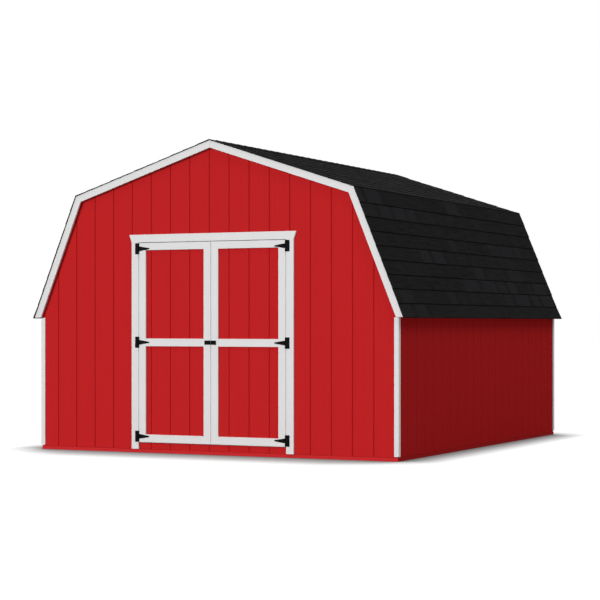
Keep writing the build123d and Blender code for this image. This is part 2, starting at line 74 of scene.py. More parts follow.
# Roof lines, read from the roof boards and the plain covering of the frame
lower_deck_low, lower_deck_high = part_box("roof_deck_lower_right")
upper_deck_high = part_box("roof_deck_upper_right")[1]
cover_low, cover_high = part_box("shingles_right")
cap_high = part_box("ridge_cap")[1]
eave = Vector((lower_deck_high.x, 0, lower_deck_low.z))
knuckle = Vector((upper_deck_high.x, 0, lower_deck_high.z))
ridge = Vector((0, 0, upper_deck_high.z))
verge_half = cover_high.y
steep_up = (knuckle - eave).normalized()
shallow_up = (ridge - knuckle).normalized()
drip = (eave.z - cover_low.z) / steep_up.z
steep_cover = (knuckle - eave).length + drip
shallow_cover = (ridge - knuckle).length

# Thickness of a course at its lower edge, where the next one starts, and at the eave, just within
# that of the plain covering it stands for
BUTT = 0.0095
HEAD = 0.0062
EAVE_BUTT = 0.014
# A laminated tab: its thickness, its worn edge, and how far it runs under the next course
TAB_THICK = 0.0014
TAB_WEAR = 0.0006
TAB_LAP = 0.022
# A ridge cap piece: its thickness and the roundness of its bend
CAP_THICK = 0.003
CAP_BEND = 0.012
# How far the first shallow course hangs over the bend of the roof
KNUCKLE_LAP = 0.009
# Width of the black band above a course, on the steep and on the shallow pitch: the dark band
# that laminated shingles print, and painted shade for the shade under the next course
SHADOW_BAND = 0.008
SHALLOW_BAND = 0.022
# The least distance that keeps two faces apart
SEAT = 0.0004
# How far down the slope the normal of a cut edge leans, and sideways that of a side face
CUT_LEAN = -0.6
SIDE_LEAN = 0.7

# Joints between shingles, as shares of their length: in the strip under a first course, in the
# first course itself, and the step to the next course
UNDER_JOINT = 0.6
FIRST_JOINT = 0.35
JOINT_STEP = 0.33
# Neighbouring tabs share a tone: the share of pale runs, and how many tabs a run may have
PALE_SHARE = 0.35
PALE_RUNS = (1, 1, 2)
DARK_RUNS = (1, 2, 3)
# Tones, from 0 for the main colour to 1 for the pale one
PALE_TONES = (0.6, 1.0)
DARK_TONES = (0.0, 0.4)
SHEET_TONES = (0.1, 0.3)
CAP_TONES = (0.0, 0.3)
# Gaps between tabs, and the shortest end of a tab that is still laid at a verge
TAB_GAPS = (0.04, 0.12)
SHORTEST_END = 0.03

# Framing: timber thickness, stud spacing, the king studs' distance from the middle of the doorway,
# and the share of it at which a short stud stands over the doorway
STUD = 0.038
STUD_PITCH = 0.4064
KING_STUD = 0.818
SHORT_STUD = 0.488
# A height over everything, for the end walls, which have no flat top plate
NO_TOP_PLATE = 99.0
# Floor sheets of plywood, and the joint between them
SHEET = (2.4384, 1.2192)
SHEET_JOINT = 0.0024
# Grooves of the siding, counted from the middle of an end wall
GROOVE_DEPTH = 0.003
GROOVE_PITCH = 0.2032
GROOVE_SHIFT = -0.023
# Trim boards and hinges
FASCIA_WIDTH = 0.063
TRIM_WIDTH = 0.07
HINGE_METAL = 0.003
STRAP_ROOT = 0.046

# Gaps round the doors: their width, how far behind the front their edges reach, and the play
# of a test that looks for those edges
DOOR_GAP = 0.006
GAP_DEPTH = 0.15
EDGE_SLACK = 0.0002

# Faces of the walls and trim, and lines that nails and screws follow
front_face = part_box("front_wall_left")[0].y
back_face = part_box("back_wall")[1].y
side_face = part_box("right_wall")[1].x
siding_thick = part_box("front_wall_left")[1].y - front_face
trim_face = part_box("door_casings")[0].y
fascia_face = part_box("front_fascia_lower")[0].y
corner_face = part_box("front_corner_trims")[0]
base_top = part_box("base_boards")[1].z
header_low, header_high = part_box("door_header_trim")
casing_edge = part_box("door_casings")[1].x
stile_low, stile_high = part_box("door_right_stiles")
jamb_line = stile_high.x + DOOR_GAP / 2
head_line = stile_high.z + DOOR_GAP / 2
door_foot = stile_low.z
stud_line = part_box("left_wall_frame")[1].y - STUD / 2

# Nails, as (radius, height of the head)
SIDING_NAIL = (0.0035, 0.0007)
TRIM_NAIL = (0.0022, 0.0004)
# How far siding nails keep from the foot and the top of the siding, from a corner and a groove
FOOT_MARGIN = 0.025
TOP_MARGIN = 0.03
CORNER_MARGIN = 0.04
GROOVE_MARGIN = 0.012
# How far finish nails keep from the ends of a board, of a stile, and of a rail at the middle of the
# doorway and at the hinges
END_MARGIN = 0.05
STILE_MARGIN = 0.1
RAIL_MARGINS = (0.11, 0.14)
# How far above and below a hinge there is none, out to this distance from the edge of the door
HINGE_MARGIN = 0.04
HINGE_REACH = 0.13
# Half the distance between the two nails of a pair, on trim and on fascia
TRIM_PAIR = 0.02
FASCIA_PAIR = 0.018
# Single rows: their distance from a casing's outer edge and from a corner trim's face, and the
# heights of a casing's lowest and highest nail
CASING_LINE = 0.014
CORNER_LINE = 0.02
CASING_NAILS = (0.08, 1.9)
# Screws of a hinge, as (distance from the pin, height from the hinge's middle)
PLATE_SCREWS = ((0.027, -0.041), (0.027, 0.041), (0.015, -0.014), (0.015, 0.014))
STRAP_SCREWS = ((0.02, -0.012), (0.02, 0.012), (0.05, 0), (0.082, 0))
# The two screws of a pull: distance from its outer edge, and from its middle up and down
PULL_SCREWS = (0.01, 0.011)


class ShedSizes(bpy.types.PropertyGroup):
    """Sizes that a roofer or a builder would choose."""

    exposure: bpy.props.FloatProperty(
        name="Shingle exposure", description="Height of each course that stays uncovered",
        default=0.136, min=0.08, max=0.2, unit="LENGTH")
    shingle_length: bpy.props.FloatProperty(
        name="Shingle length", description="Length of one shingle along its course",
        default=0.985, min=0.5, max=1.2, unit="LENGTH")
    tab_shortest: bpy.props.FloatProperty(
        name="Shortest tab", description="Width of the narrowest laminated tab",
        default=0.15, min=0.05, max=0.3, unit="LENGTH")
    tab_longest: bpy.props.FloatProperty(
        name="Longest tab", description="Width of the widest laminated tab",
        default=0.4, min=0.1, max=0.6, unit="LENGTH")
    cap_exposure: bpy.props.FloatProperty(
        name="Cap exposure", description="Length of each ridge cap piece that stays uncovered",
        default=0.14, min=0.1, max=0.2, unit="LENGTH")
    nail_spacing: bpy.props.FloatProperty(
        name="Nail spacing", description="Distance between the nails of one line of siding nails",
        default=0.2, min=0.1, max=0.4, unit="LENGTH")
    trim_nail_spacing: bpy.props.FloatProperty(
        name="Trim nail spacing", description="Distance between the finish nails of a trim board",
        default=0.4, min=0.1, max=0.6, unit="LENGTH")


class ShedColours(bpy.types.PropertyGroup):
    """Paints and bare materials."""

    siding: bpy.props.FloatVectorProperty(
        name="Siding", description="Red paint of the walls and doors",
        default=linear("BD2325"), size=4, subtype="COLOR", min=0, max=1)
    # Painted shade: this deeper red stands in for the shade that falls in the grooves.
    groove: bpy.props.FloatVectorProperty(
        name="Grooves", description="Deeper red of the paint that pools in the siding's grooves",
        default=linear("A31516"), size=4, subtype="COLOR", min=0, max=1)
    board: bpy.props.FloatVectorProperty(
        name="Base boards", description="Red paint of the boards at the foot of the walls",
        default=linear("C42A2D"), size=4, subtype="COLOR", min=0, max=1)
    trim: bpy.props.FloatVectorProperty(
        name="Trim", description="White paint of the casings, corners, doors and fascia",
        default=linear("D6D6D6"), size=4, subtype="COLOR", min=0, max=1)
    shingle: bpy.props.FloatVectorProperty(
        name="Shingles", description="Main colour of the roof granules",
        default=linear("242424"), size=4, subtype="COLOR", min=0, max=1)
    shingle_pale: bpy.props.FloatVectorProperty(
        name="Pale tabs", description="Slate granules of the lighter tabs",
        default=linear("333337"), size=4, subtype="COLOR", min=0, max=1)
    iron: bpy.props.FloatVectorProperty(
        name="Door iron", description="Black powder coat of the hinges and pulls",
        default=linear("080808"), size=4, subtype="COLOR", min=0, max=1)
    softwood: bpy.props.FloatVectorProperty(
        name="Framing", description="Bare planed softwood of the studs and rafters",
        default=linear("D9BD92"), size=4, subtype="COLOR", min=0, max=1)
    veneer: bpy.props.FloatVectorProperty(
        name="Plywood", description="Bare face veneer of the floor, gussets and siding backs",
        default=linear("C9A777"), size=4, subtype="COLOR", min=0, max=1)
    strand_board: bpy.props.FloatVectorProperty(
        name="Roof boards", description="Bare strands of the roof boards",
        default=linear("C4A06A"), size=4, subtype="COLOR", min=0, max=1)


# Modelling


def select_only(*pieces):
    """Deselects everything, then selects these objects, the first one active."""
    bpy.ops.object.select_all(action="DESELECT")
    for piece in pieces:
        piece.select_set(True)
    bpy.context.view_layer.objects.active = pieces[0]


def edit(piece):
    """Starts editing a piece, with nothing selected."""
    select_only(piece)
    bpy.ops.object.mode_set(mode="EDIT")
    bpy.ops.mesh.select_all(action="DESELECT")


def leave_edit():
    """Turns the normals outwards and goes back to object mode."""
    bpy.ops.mesh.select_all(action="SELECT")
    bpy.ops.mesh.normals_make_consistent(inside=False)
    bpy.ops.object.mode_set(mode="OBJECT")


def pick(piece, kind, test):
    """In edit mode, selects the verts, edges or faces whose middle passes a test, and nothing else."""
    bpy.ops.mesh.select_mode(type=kind)
    bpy.ops.mesh.select_all(action="DESELECT")
    mesh = bmesh.from_edit_mesh(piece.data)
    parts = {"VERT": mesh.verts, "EDGE": mesh.edges, "FACE": mesh.faces}[kind]
    for part in parts:
        corners = [part] if kind == "VERT" else part.verts
        middle = sum((corner.co for corner in corners), Vector()) / len(corners)
        if test(middle):
            part.select_set(True)
    mesh.select_flush_mode()
    bmesh.update_edit_mesh(piece.data)


def add_block(name, low, high):
    """A cube stretched between two corners, with its place in its mesh."""
    bpy.ops.object.select_all(action="DESELECT")
    low, high = Vector(low), Vector(high)
    bpy.ops.mesh.primitive_cube_add(size=1, location=(low + high) / 2, scale=high - low)
    bpy.ops.object.transform_apply(location=True, rotation=True, scale=True)
    block = bpy.context.active_object
    block.name = name
    return block


def mark_faces(piece, name, measure):
    """Gives each face a value worked out from its middle and normal, for the material to read."""
    mark = piece.data.attributes.new(name, "FLOAT", "FACE")
    mark.data.foreach_set(
        "value", [measure(face.center, face.normal) for face in piece.data.polygons])


def copy_piece(master, place, tone=None):
    """A copy with its own mesh, put in place by a matrix, with a tone of its own where one is given."""
    piece = master.copy()
    piece.data = master.data.copy()
    piece.data.transform(place)
    if tone is not None:
        mark = piece.data.attributes.new("tone", "FLOAT", "POINT")
        mark.data.foreach_set("value", [tone] * len(piece.data.vertices))
    bpy.context.collection.objects.link(piece)
    return piece


def join_pieces(name, pieces):
    """Joins copies into one object of this name."""
    select_only(*pieces)
    if len(pieces) > 1:
        bpy.ops.object.join()
    joined = bpy.context.active_object
    joined.name = name
    joined.data.name = name
    return joined


def discard(*masters):
    """Removes the pieces that were only there to be copied."""
    for master in masters:
        bpy.data.objects.remove(master)


def hand_over(piece, body, slot, material, *replaced):
    """Gives a finished piece its material, its body and the nodes it stands for. The slot is not used.
    """
    piece.data.materials.clear()
    piece.data.materials.append(material)
    if replaced:
        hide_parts(*replaced)
    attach(piece, body)


def slope_place(foot, up, side):
    """Turns slope coordinates into the frame: X along the roof, Y up the slope, Z out of it."""
    along = Vector((0, side, 0))
    rise = Vector((side * up.x, 0, up.z))
    out = along.cross(rise)
    place = Matrix((along, rise, out)).transposed().to_4x4()
    place.translation = Vector((side * foot.x, 0, foot.z))
    return place


def facing_place(point, facing):
    """Puts something that stands on XY at a point, with its top turned to face this way."""
    place = Vector(facing).to_track_quat("Z", "Y").to_matrix().to_4x4()
    place.translation = Vector(point)
    return place


def spanning(place, low, high, gap=0.0):
    """Stretches a piece a metre wide from low to high along a course, less a gap at its ends."""
    along = Matrix.Translation(((low + high) / 2, 0, 0))
    return place @ along @ Matrix.Diagonal((high - low - gap, 1, 1, 1))


def even_places(low, high, pitch):
    """Places from low to high, evenly spaced at no more than the pitch."""
    bays = max(1, math.ceil((high - low) / pitch - 1e-6))
    return [low + (high - low) * i / bays for i in range(bays + 1)]


# Materials

# Painted light: the white laid on the edges that face the shaded gaps round the doors
GAP_PAINTED_LIGHT = (0.95, 0.95, 0.95, 1.0)
# A noise pattern's values mostly lie this close to a half
NOISE_SPREAD = 0.22
# Turns that lay upright grain along X or along Y
ALONG_X = (0, math.pi / 2, 0)
ALONG_Y = (math.pi / 2, 0, 0)


def feed(tree, node, inputs):
    """Sets or links a node's inputs, given by name or listed in the order of those in use.

    A node given as an input is linked by its first output in use.
    """
    if isinstance(inputs, dict):
        pairs = [(node.inputs[name], value) for name, value in inputs.items()]
    else:
        pairs = zip([socket for socket in node.inputs if socket.enabled], inputs)
    for socket, value in pairs:
        if isinstance(value, bpy.types.Node):
            value = next(output for output in value.outputs if output.enabled)
        if isinstance(value, bpy.types.NodeSocket):
            tree.links.new(value, socket)
        else:
            socket.default_value = value


def add_node(tree, kind, inputs=(), **settings):
    """Adds a shader node with these settings and inputs."""
    node = tree.nodes.new(f"ShaderNode{kind}")
    for name, value in settings.items():
        setattr(node, name, value)
    feed(tree, node, inputs)
    return node


def new_material(name, roughness, gloss):
    """A material of this roughness and specular level, and its node tree."""
    material = bpy.data.materials.new(name)
    material.use_nodes = True
    tree = material.node_tree
    feed(tree, tree.nodes["Principled BSDF"], {"Roughness": roughness, "Specular IOR Level": gloss})
    return material, tree


def coat_surface(tree, base, coats, relief, depth, strength):
    """Lays coats over a base colour, each as (where it lies, its colour), and raises a relief.

    Both where a coat lies and the relief go from 0 to 1. The relief stands depth metres high.
    """
    for where, coat in coats:
        base = add_node(tree, "Mix", (where, base, coat), data_type="RGBA")
    bump = add_node(tree, "Bump", {"Height": relief, "Distance": depth, "Strength": strength})
    feed(tree, tree.nodes["Principled BSDF"], {"Base Color": base, "Normal": bump})


def axes(tree, coordinates="Object"):
    """The X, Y and Z of a point in its object's coordinates, or of the normal there."""
    place = add_node(tree, "TexCoord").outputs[coordinates]
    return add_node(tree, "SeparateXYZ", (place,)).outputs


def beyond(tree, value, limit):
    """1 where a value lies further from nought than the limit, to either side, else 0."""
    size = add_node(tree, "Math", (value,), operation="ABSOLUTE")
    return add_node(tree, "Math", (size, limit), operation="GREATER_THAN")


def pattern_place(tree, size, turn):
    """Object coordinates, turned and divided so that one unit of a pattern has this size in metres."""
    place = add_node(tree, "TexCoord").outputs["Object"]
    return add_node(
        tree, "Mapping", {"Vector": place, "Rotation": turn, "Scale": size}, vector_type="TEXTURE")


def noise(tree, size, turn=(0, 0, 0), detail=2.0, most=1.0):
    """Noise of this size, spread from 0 to the most."""
    cloud = add_node(
        tree, "TexNoise",
        {"Vector": pattern_place(tree, size, turn), "Scale": 1.0, "Detail": detail})
    return add_node(
        tree, "MapRange", (cloud, 0.5 - NOISE_SPREAD, 0.5 + NOISE_SPREAD, 0.0, most))


def wood_grain(tree, turn, wave, rings, fibre):
    """Where the dark growth rings lie, so many to each wave of the grain, and the fine fibres."""
    bend = add_node(tree, "Math", (noise(tree, wave, turn), rings), operation="MULTIPLY")
    late_wood = add_node(tree, "Math", (bend, 1.0), operation="PINGPONG")
    return late_wood, noise(tree, fibre, turn)


def bare_veneer(tree, colour, turn):
    """Rotary-cut fir veneer, its colour and its fibres.

    The broad wavy grain is 50 mm wide and over a metre long. Fibres under 1 mm are drawn 3 mm
    across and 90 mm long.
    """
    late_wood, fibre = wood_grain(tree, turn, (0.05, 0.05, 1.1), 5.0, (0.003, 0.003, 0.09))
    veneer = shaded(colour, 1.08)
    for where, dark in ((late_wood, 0.82), (fibre, 0.95)):
        veneer = add_node(tree, "Mix", (where, veneer, shaded(colour, dark)), data_type="RGBA")
    return veneer, fibre


def door_gap_light_mask(tree):
    """1 on the edges that face the narrow gaps round and between the doors, where white is painted in
    as light for the shaded gap, else 0.
    """
    x, y, z = axes(tree)
    reach = DOOR_GAP / 2 + EDGE_SLACK
    middle, half = (door_foot + header_low.z) / 2, (header_low.z - door_foot) / 2 + 5 * EDGE_SLACK
    at_gap = 0.0
    for line, half_width, height, half_height in (
            (-jamb_line, reach, middle, half), (0.0, reach, middle, half),
            (jamb_line, reach, middle, half), (0.0, jamb_line + reach, head_line, reach)):
        in_width = add_node(tree, "Math", (x, line, half_width), operation="COMPARE")
        in_height = add_node(tree, "Math", (z, height, half_height), operation="COMPARE")
        inside = add_node(tree, "Math", (in_width, in_height), operation="MULTIPLY")
        at_gap = add_node(tree, "Math", (inside, at_gap), operation="MAXIMUM")
    at_front = add_node(tree, "Math", (y, front_face + GAP_DEPTH), operation="LESS_THAN")
    return add_node(tree, "Math", (at_front, at_gap), operation="MULTIPLY")


def painted_siding(name, colours, axis, face, outward, groove):
    """Rough-sawn plywood siding, grooved and rolled with flat acrylic paint on its outer face.

    The eye sees one matt red with faint upright streaks from the saw, 16 mm wide, laps of the
    roller, 350 mm wide, and bare veneer on the back. The grooves and cut edges take the groove
    colour as painted shade, or on the side walls a lighter red as painted light against their own
    shade, and the edges round the doorway take white as painted light. Saw marks of 1 mm are
    drawn 2.2 mm across.
    """
    material, tree = new_material(name, 0.95, 0.01)
    depth = add_node(
        tree, "Math", (axes(tree)[axis], -outward, outward * face), operation="MULTIPLY_ADD")
    groove_shading_mask, on_back = (
        add_node(tree, "Math", (depth, least), operation="GREATER_THAN")
        for least in (GROOVE_DEPTH / 4, siding_thick - GROOVE_DEPTH / 4))
    red = colours.siding
    veneer = bare_veneer(tree, colours.veneer, (0, 0, 0))[0]
    # The groove colour in the grooves and on cut edges is painted shade on the end walls and painted
    # light on the side walls; the white at the doors is painted light.
    coats = (
        (noise(tree, (0.016, 0.016, 0.7), detail=3.0), shaded(red, 1.035)),
        (noise(tree, (0.35, 0.35, 0.9), most=0.5), shaded(red, 0.97)),
        (groove_shading_mask, groove), (door_gap_light_mask(tree), GAP_PAINTED_LIGHT), (on_back, veneer))
    saw_marks = noise(tree, (0.0022, 0.0022, 0.05))
    coat_surface(tree, shaded(red, 0.965), coats, saw_marks, 0.0003, 0.5)
    return material


def rolled_paint(name, colour, roughness=0.5, gloss=0.4, side_painted_shading=None, light_door_gaps=False):
    """Planed board with a rolled coat of satin acrylic: even, slightly stippled and softly glossy.

    The faces turned to the side walls can take a copy of the paint, lighter as painted light or
    darker as painted shade, and the edges that face the shaded gaps round the doors take white as
    painted light. The roller's laps are 180 mm wide. Its stipple of 1.5 mm is drawn 4 mm across.
    """
    material, tree = new_material(name, roughness, gloss)
    coats = [(noise(tree, (0.18, 0.18, 0.4)), shaded(colour, 1.015))]
    # The faces turned to the side walls take a copy of the paint, lighter as painted light or darker as
    # painted shade.
    if side_painted_shading:
        past_wall = beyond(tree, axes(tree)["X"], side_face)
        turned = beyond(tree, axes(tree, "Normal")["X"], SIDE_LEAN)
        side_shading_mask = add_node(tree, "Math", (past_wall, turned), operation="MULTIPLY")
        coats.append((side_shading_mask, side_painted_shading))
    # Painted light: white on the edges that face the doors' shaded gaps.
    if light_door_gaps:
        coats.append((door_gap_light_mask(tree), GAP_PAINTED_LIGHT))
    stipple = noise(tree, (0.004, 0.004, 0.004))
    coat_surface(tree, shaded(colour, 0.985), coats, stipple, 0.00008, 0.5)
    return material


def asphalt_granules(name, colours):
    """Glass-fibre asphalt shingle with pressed ceramic granules: dead matt charcoal, speckled.

    The granules lie in faint streaks along the sheet, 220 mm long. A black band under the next
    course and the cut lower edges are painted shade, over the dark granules of the band and the
    black asphalt of the edges. Real granules are 1.5 mm. They are drawn 5 mm across, so that they
    still show as a fine speckle.
    """
    material, tree = new_material(name, 0.95, 0.005)
    tone, black = (
        add_node(tree, "Attribute", attribute_name=mark).outputs["Fac"]
        for mark in ("tone", "black"))
    granules = noise(tree, (0.005, 0.005, 0.005), detail=1.0)
    speckle = add_node(tree, "Math", (granules, 0.4), operation="MULTIPLY")
    streaks = noise(tree, (0.02, 0.22, 0.02), most=0.5)
    slate = colours.shingle
    # The black mark is painted shade on the band under the next course and on cut edges facing down the
    # slope, over the band's dark granules and the edges' asphalt.
    coats = (
        (tone, colours.shingle_pale), (speckle, shaded(slate, 0.4)),
        (streaks, shaded(slate, 2.0)), (black, shaded(slate, 0.3)))
    coat_surface(tree, slate, coats, granules, 0.0008, 0.6)
    return material


def powder_coat(name, colour):
    """Stamped steel, powder coated black: satin, with the 2 mm orange peel of the coat."""
    material, tree = new_material(name, 0.45, 0.03)
    peel = noise(tree, (0.002, 0.002, 0.002), detail=1.0)
    coat_surface(tree, shaded(colour, 0.85), [(peel, shaded(colour, 1.2))], peel, 0.00006, 0.4)
    return material


def softwood(name, colour, turn=(0, 0, 0), plates=None, light_door_gaps=False, rim=None):
    """Planed spruce framing: pale, with growth rings along the stick and a knot now and then.

    Plates are given as (low, high, turn): outside those heights the sticks lie flat, grain and all.
    The edges that face the gaps round the doors take white as painted light for the shaded gaps,
    and the rim of the floor frame takes the paint that runs behind the siding, in the deeper groove
    red that paints the seam's shade. The rings make waves 30 mm wide and over a metre long, a knot
    is up to 27 mm across, and fibres under 1 mm are drawn 2.5 mm across.
    """
    material, tree = new_material(name, 0.7, 0.25)
    grain = {"wave": (0.03, 0.03, 1.4), "rings": 7.0, "fibre": (0.0025, 0.0025, 0.12)}
    early, late = shaded(colour, 1.07), shaded(colour, 0.8)
    late_wood, fibre = wood_grain(tree, turn, **grain)
    coats = [(late_wood, late)]
    if plates:
        low, high, plate_turn = plates
        height = axes(tree)["Z"]
        tests = [
            add_node(tree, "Math", (height, low), operation="LESS_THAN"),
            add_node(tree, "Math", (height, high), operation="GREATER_THAN")]
        flat = add_node(tree, "Math", tests, operation="MAXIMUM")
        flat_late_wood = wood_grain(tree, plate_turn, **grain)[0]
        coats.append((flat, add_node(tree, "Mix", (flat_late_wood, early, late), data_type="RGBA")))
    spots = add_node(
        tree, "TexVoronoi",
        {"Vector": pattern_place(tree, (0.3, 0.3, 0.45), turn), "Scale": 1.0})
    knot = add_node(tree, "Math", (spots, 0.045), operation="LESS_THAN")
    faint_knot = add_node(tree, "Math", (knot, 0.75), operation="MULTIPLY")
    coats.append((faint_knot, shaded(colour, 0.35)))
    # Painted light: white on the edges that face the doors' shaded gaps.
    if light_door_gaps:
        coats.append((door_gap_light_mask(tree), GAP_PAINTED_LIGHT))
    # The floor frame's outer faces take the deeper groove red: paint run behind the siding, and painted
    # shade for the narrow seam they show through.
    if rim:
        place, outermost = axes(tree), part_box("floor_frame")[1]
        outside = [beyond(tree, place[axis], outermost[axis] - SEAT) for axis in (0, 1)]
        coats.append((add_node(tree, "Math", outside, operation="MAXIMUM"), rim))
    coat_surface(tree, early, coats, fibre, 0.0002, 0.4)
    return material


def plywood(name, colour, turn, sheet=()):
    """Sanded fir plywood with its broad face grain, and dark joints between sheets of this size."""
    material, tree = new_material(name, 0.75, 0.25)
    veneer, fibre = bare_veneer(tree, colour, turn)
    coats = []
    for place, pitch in zip(axes(tree), sheet):
        past = add_node(tree, "Math", (place, pitch / 2), operation="ADD")
        off_joint = add_node(tree, "Math", (past, pitch / 2), operation="PINGPONG")
        joint = add_node(tree, "Math", (off_joint, SHEET_JOINT / 2), operation="LESS_THAN")
        coats.append((joint, shaded(colour, 0.15)))
    coat_surface(tree, veneer, coats, fibre, 0.00015, 0.4)
    return material


def strand_board(name, colour, tilt):
    """Oriented strand board: pressed wafers, 90 mm long and 22 mm wide, lying in several directions."""
    material, tree = new_material(name, 0.75, 0.25)
    coats = []
    height = 0.0
    for spin, share in ((0.2, 1.0), (1.3, 0.5), (-0.9, 0.5)):
        wafers = add_node(
            tree, "TexVoronoi",
            {"Vector": pattern_place(tree, (0.4, 0.022, 0.09), (spin, tilt, 0)), "Scale": 1.0})
        shade, layer, thickness = add_node(tree, "SeparateColor", (wafers.outputs["Color"],)).outputs
        wafer = add_node(
            tree, "Mix", (shade, shaded(colour, 0.68), shaded(colour, 1.22)), data_type="RGBA")
        on_top = add_node(tree, "Math", (layer, 1 - share), operation="GREATER_THAN")
        coats.append((on_top, wafer))
        height = add_node(tree, "Math", (height, thickness), operation="ADD")
    relief = add_node(tree, "Math", (height, 3.0), operation="DIVIDE")
    coat_surface(tree, shaded(colour, 0.9), coats, relief, 0.0004, 0.5)
    return material


class SHED_OT_finishes(bpy.types.Operator):
    """Paints the walls, trim and ironwork, and gives the bare wood its grain"""

    bl_idname = "shed.finishes"
    bl_label = "Finish the frame"

    def execute(self, context):
        colours = context.scene.shed_colours
        # Painted light: the side walls' grooves take a lighter red, against the shade they cast
        # themselves.
        side_groove_light = shaded(colours.siding, 1.2)
        front = painted_siding("front_siding_paint", colours, 1, front_face, -1, colours.groove)
        back = painted_siding("back_siding_paint", colours, 1, back_face, 1, colours.groove)
        right = painted_siding("right_siding_paint", colours, 0, side_face, 1, side_groove_light)
        left = painted_siding("left_siding_paint", colours, 0, -side_face, -1, side_groove_light)
        # Painted shade: the base boards' faces turned to the side walls take a darker red.
        board = rolled_paint(
            "base_board_paint", colours.board, 0.8, 0.04, shaded(colours.siding, 0.85))
        # Painted light: the trim's faces turned to the side walls take a lighter white, for their
        # sheen.
        trim = rolled_paint("trim_paint", colours.trim, side_painted_shading=shaded(colours.trim, 1.3))
        door_trim = rolled_paint("door_trim_paint", colours.trim, light_door_gaps=True)
        blocking = rolled_paint("blocking_paint", colours.trim, 0.7)
        iron = powder_coat("door_iron_coat", colours.iron)

        wood = colours.softwood
        bottom_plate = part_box("floor_deck")[1].z + STUD
        top_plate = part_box("left_wall_frame")[1].z - STUD
        end_plates = (bottom_plate, NO_TOP_PLATE, ALONG_X)
        studs_x = softwood("back_frame_spruce", wood, plates=end_plates)
        door_studs = softwood("front_frame_spruce", wood, plates=end_plates, light_door_gaps=True)
        studs_y = softwood("long_frame_spruce", wood, plates=(bottom_plate, top_plate, ALONG_Y))
        upright = softwood("upright_spruce", wood, light_door_gaps=True)
        # The rim's groove red is paint run behind the siding and painted shade for its seam.
        joists = softwood("joist_spruce", wood, ALONG_X, rim=colours.groove)
        ply = plywood("gusset_plywood", colours.veneer, ALONG_X)
        floor_ply = plywood("floor_plywood", colours.veneer, ALONG_X, SHEET)

        finishes = [
            (front, ["front_wall_left", "front_wall_right", "front_wall_gable", "front_wall_sill",
                     "door_left_panel", "door_right_panel"]),
            (back, ["back_wall"]), (left, ["left_wall"]), (right, ["right_wall"]),
            (board, ["base_boards", "eave_strips"]),
            (blocking, ["front_rake_blocking", "back_rake_blocking"]),
            (trim, ["front_corner_trims", "back_corner_trims", "front_fascia_lower",
                    "front_fascia_upper", "back_fascia_lower", "back_fascia_upper"]),
            (door_trim, ["door_casings", "door_header_trim"]), (iron, ["hinge_plates"]),
            (door_studs, ["front_frame_left", "front_frame_right"]),
            (upright, ["front_frame_gable"]), (studs_x, ["back_frame"]),
            (studs_y, ["left_wall_frame", "right_wall_frame"]),
            (joists, ["door_threshold", "floor_frame"]), (floor_ply, ["floor_deck"]),
            (ply, ["ridge_gussets", "knuckle_gussets_left", "knuckle_gussets_right"]),
        ]
        for side, hand in ((1, "right"), (-1, "left")):
            for level, up in (("lower", steep_up), ("upper", shallow_up)):
                tilt = side * math.atan2(up.x, up.z)
                rafters = softwood(f"{level}_{hand}_rafter_spruce", wood, (0, tilt, 0))
                strands = strand_board(
                    f"{level}_{hand}_strand_board", colours.strand_board, tilt)
                finishes += [
                    (rafters, [f"rafters_{level}_{hand}"]), (strands, [f"roof_deck_{level}_{hand}"])]
            finishes += [
                (door_trim, [f"door_{hand}_stiles", f"door_{hand}_rails"]),
                (upright, [f"door_{hand}_frame"]),
                (iron, [f"door_{hand}_hinge_straps", f"door_{hand}_latch"])]

        for material, names in finishes:
            for name in names:
                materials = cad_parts[name].data.materials
                materials.clear()
                materials.append(material)
        return {"FINISHED"}


# Roof covering


def make_shingle(exposure, butt, *shading):
    """One shingle's lower layer, a metre wide, lying on the course below and then on the boards."""
    under = butt - (BUTT - HEAD)
    shingle = add_block(
        "shingle_master", (-0.5, 0, under), (0.5, exposure, butt - TAB_THICK))
    edit(shingle)
    pick(shingle, "FACE", lambda middle: middle.y > exposure - SEAT)
    bpy.ops.mesh.extrude_region_move(TRANSFORM_OT_translate={"value": (0, exposure - SEAT, 0)})
    pick(shingle, "VERT", lambda place: abs(place.y - exposure) < SEAT)
    bpy.ops.transform.translate(value=(0, 0, HEAD - butt))
    pick(shingle, "VERT", lambda place: place.y > exposure + SEAT)
    bpy.ops.transform.translate(value=(0, 0, SEAT - under))
    pick(shingle, "VERT", lambda place: place.y > exposure + SEAT and place.z > 2 * SEAT)
    bpy.ops.transform.translate(value=(0, 0, -TAB_THICK / 2))
    shade_faces(shingle, exposure, *shading)
    return shingle


def shade_faces(piece, exposure, band, cut):
    """Cuts a course piece where its shadow band starts, and ends the editing of it.

    The band and, where it is a cut one, the lower edge are marked black: painted shade for the
    shade under the next course and on the edge turned down the slope, dark as the band's printed
    granules and the edge's asphalt are too. A band of no width leaves the upper part as it is.
    """
    start = exposure - band
    bpy.ops.mesh.select_all(action="SELECT")
    bpy.ops.mesh.bisect(plane_co=(0, start, 0), plane_no=(0, 1, 0))
    leave_edit()

    def black(middle, normal):
        in_band = band and start < middle.y < exposure + TAB_LAP
        return 1.0 if in_band or (cut and normal.y < CUT_LEAN) else 0.0

    mark_faces(piece, "black", black)


def make_tab(exposure, butt, *shading):
    """One laminated tab, a metre wide, with a worn lower edge."""
    reach = exposure + TAB_LAP
    tab = add_block("tab_master", (-0.5, 0, butt - TAB_THICK), (0.5, reach, butt))
    edit(tab)
    pick(tab, "VERT", lambda place: place.y > exposure)
    bpy.ops.transform.translate(value=(0, 0, (HEAD - butt) * reach / exposure))
    pick(tab, "EDGE", lambda middle: middle.y < SEAT and middle.z > butt - SEAT)
    bpy.ops.mesh.bevel(offset=TAB_WEAR)
    shade_faces(tab, exposure, *shading)
    return tab


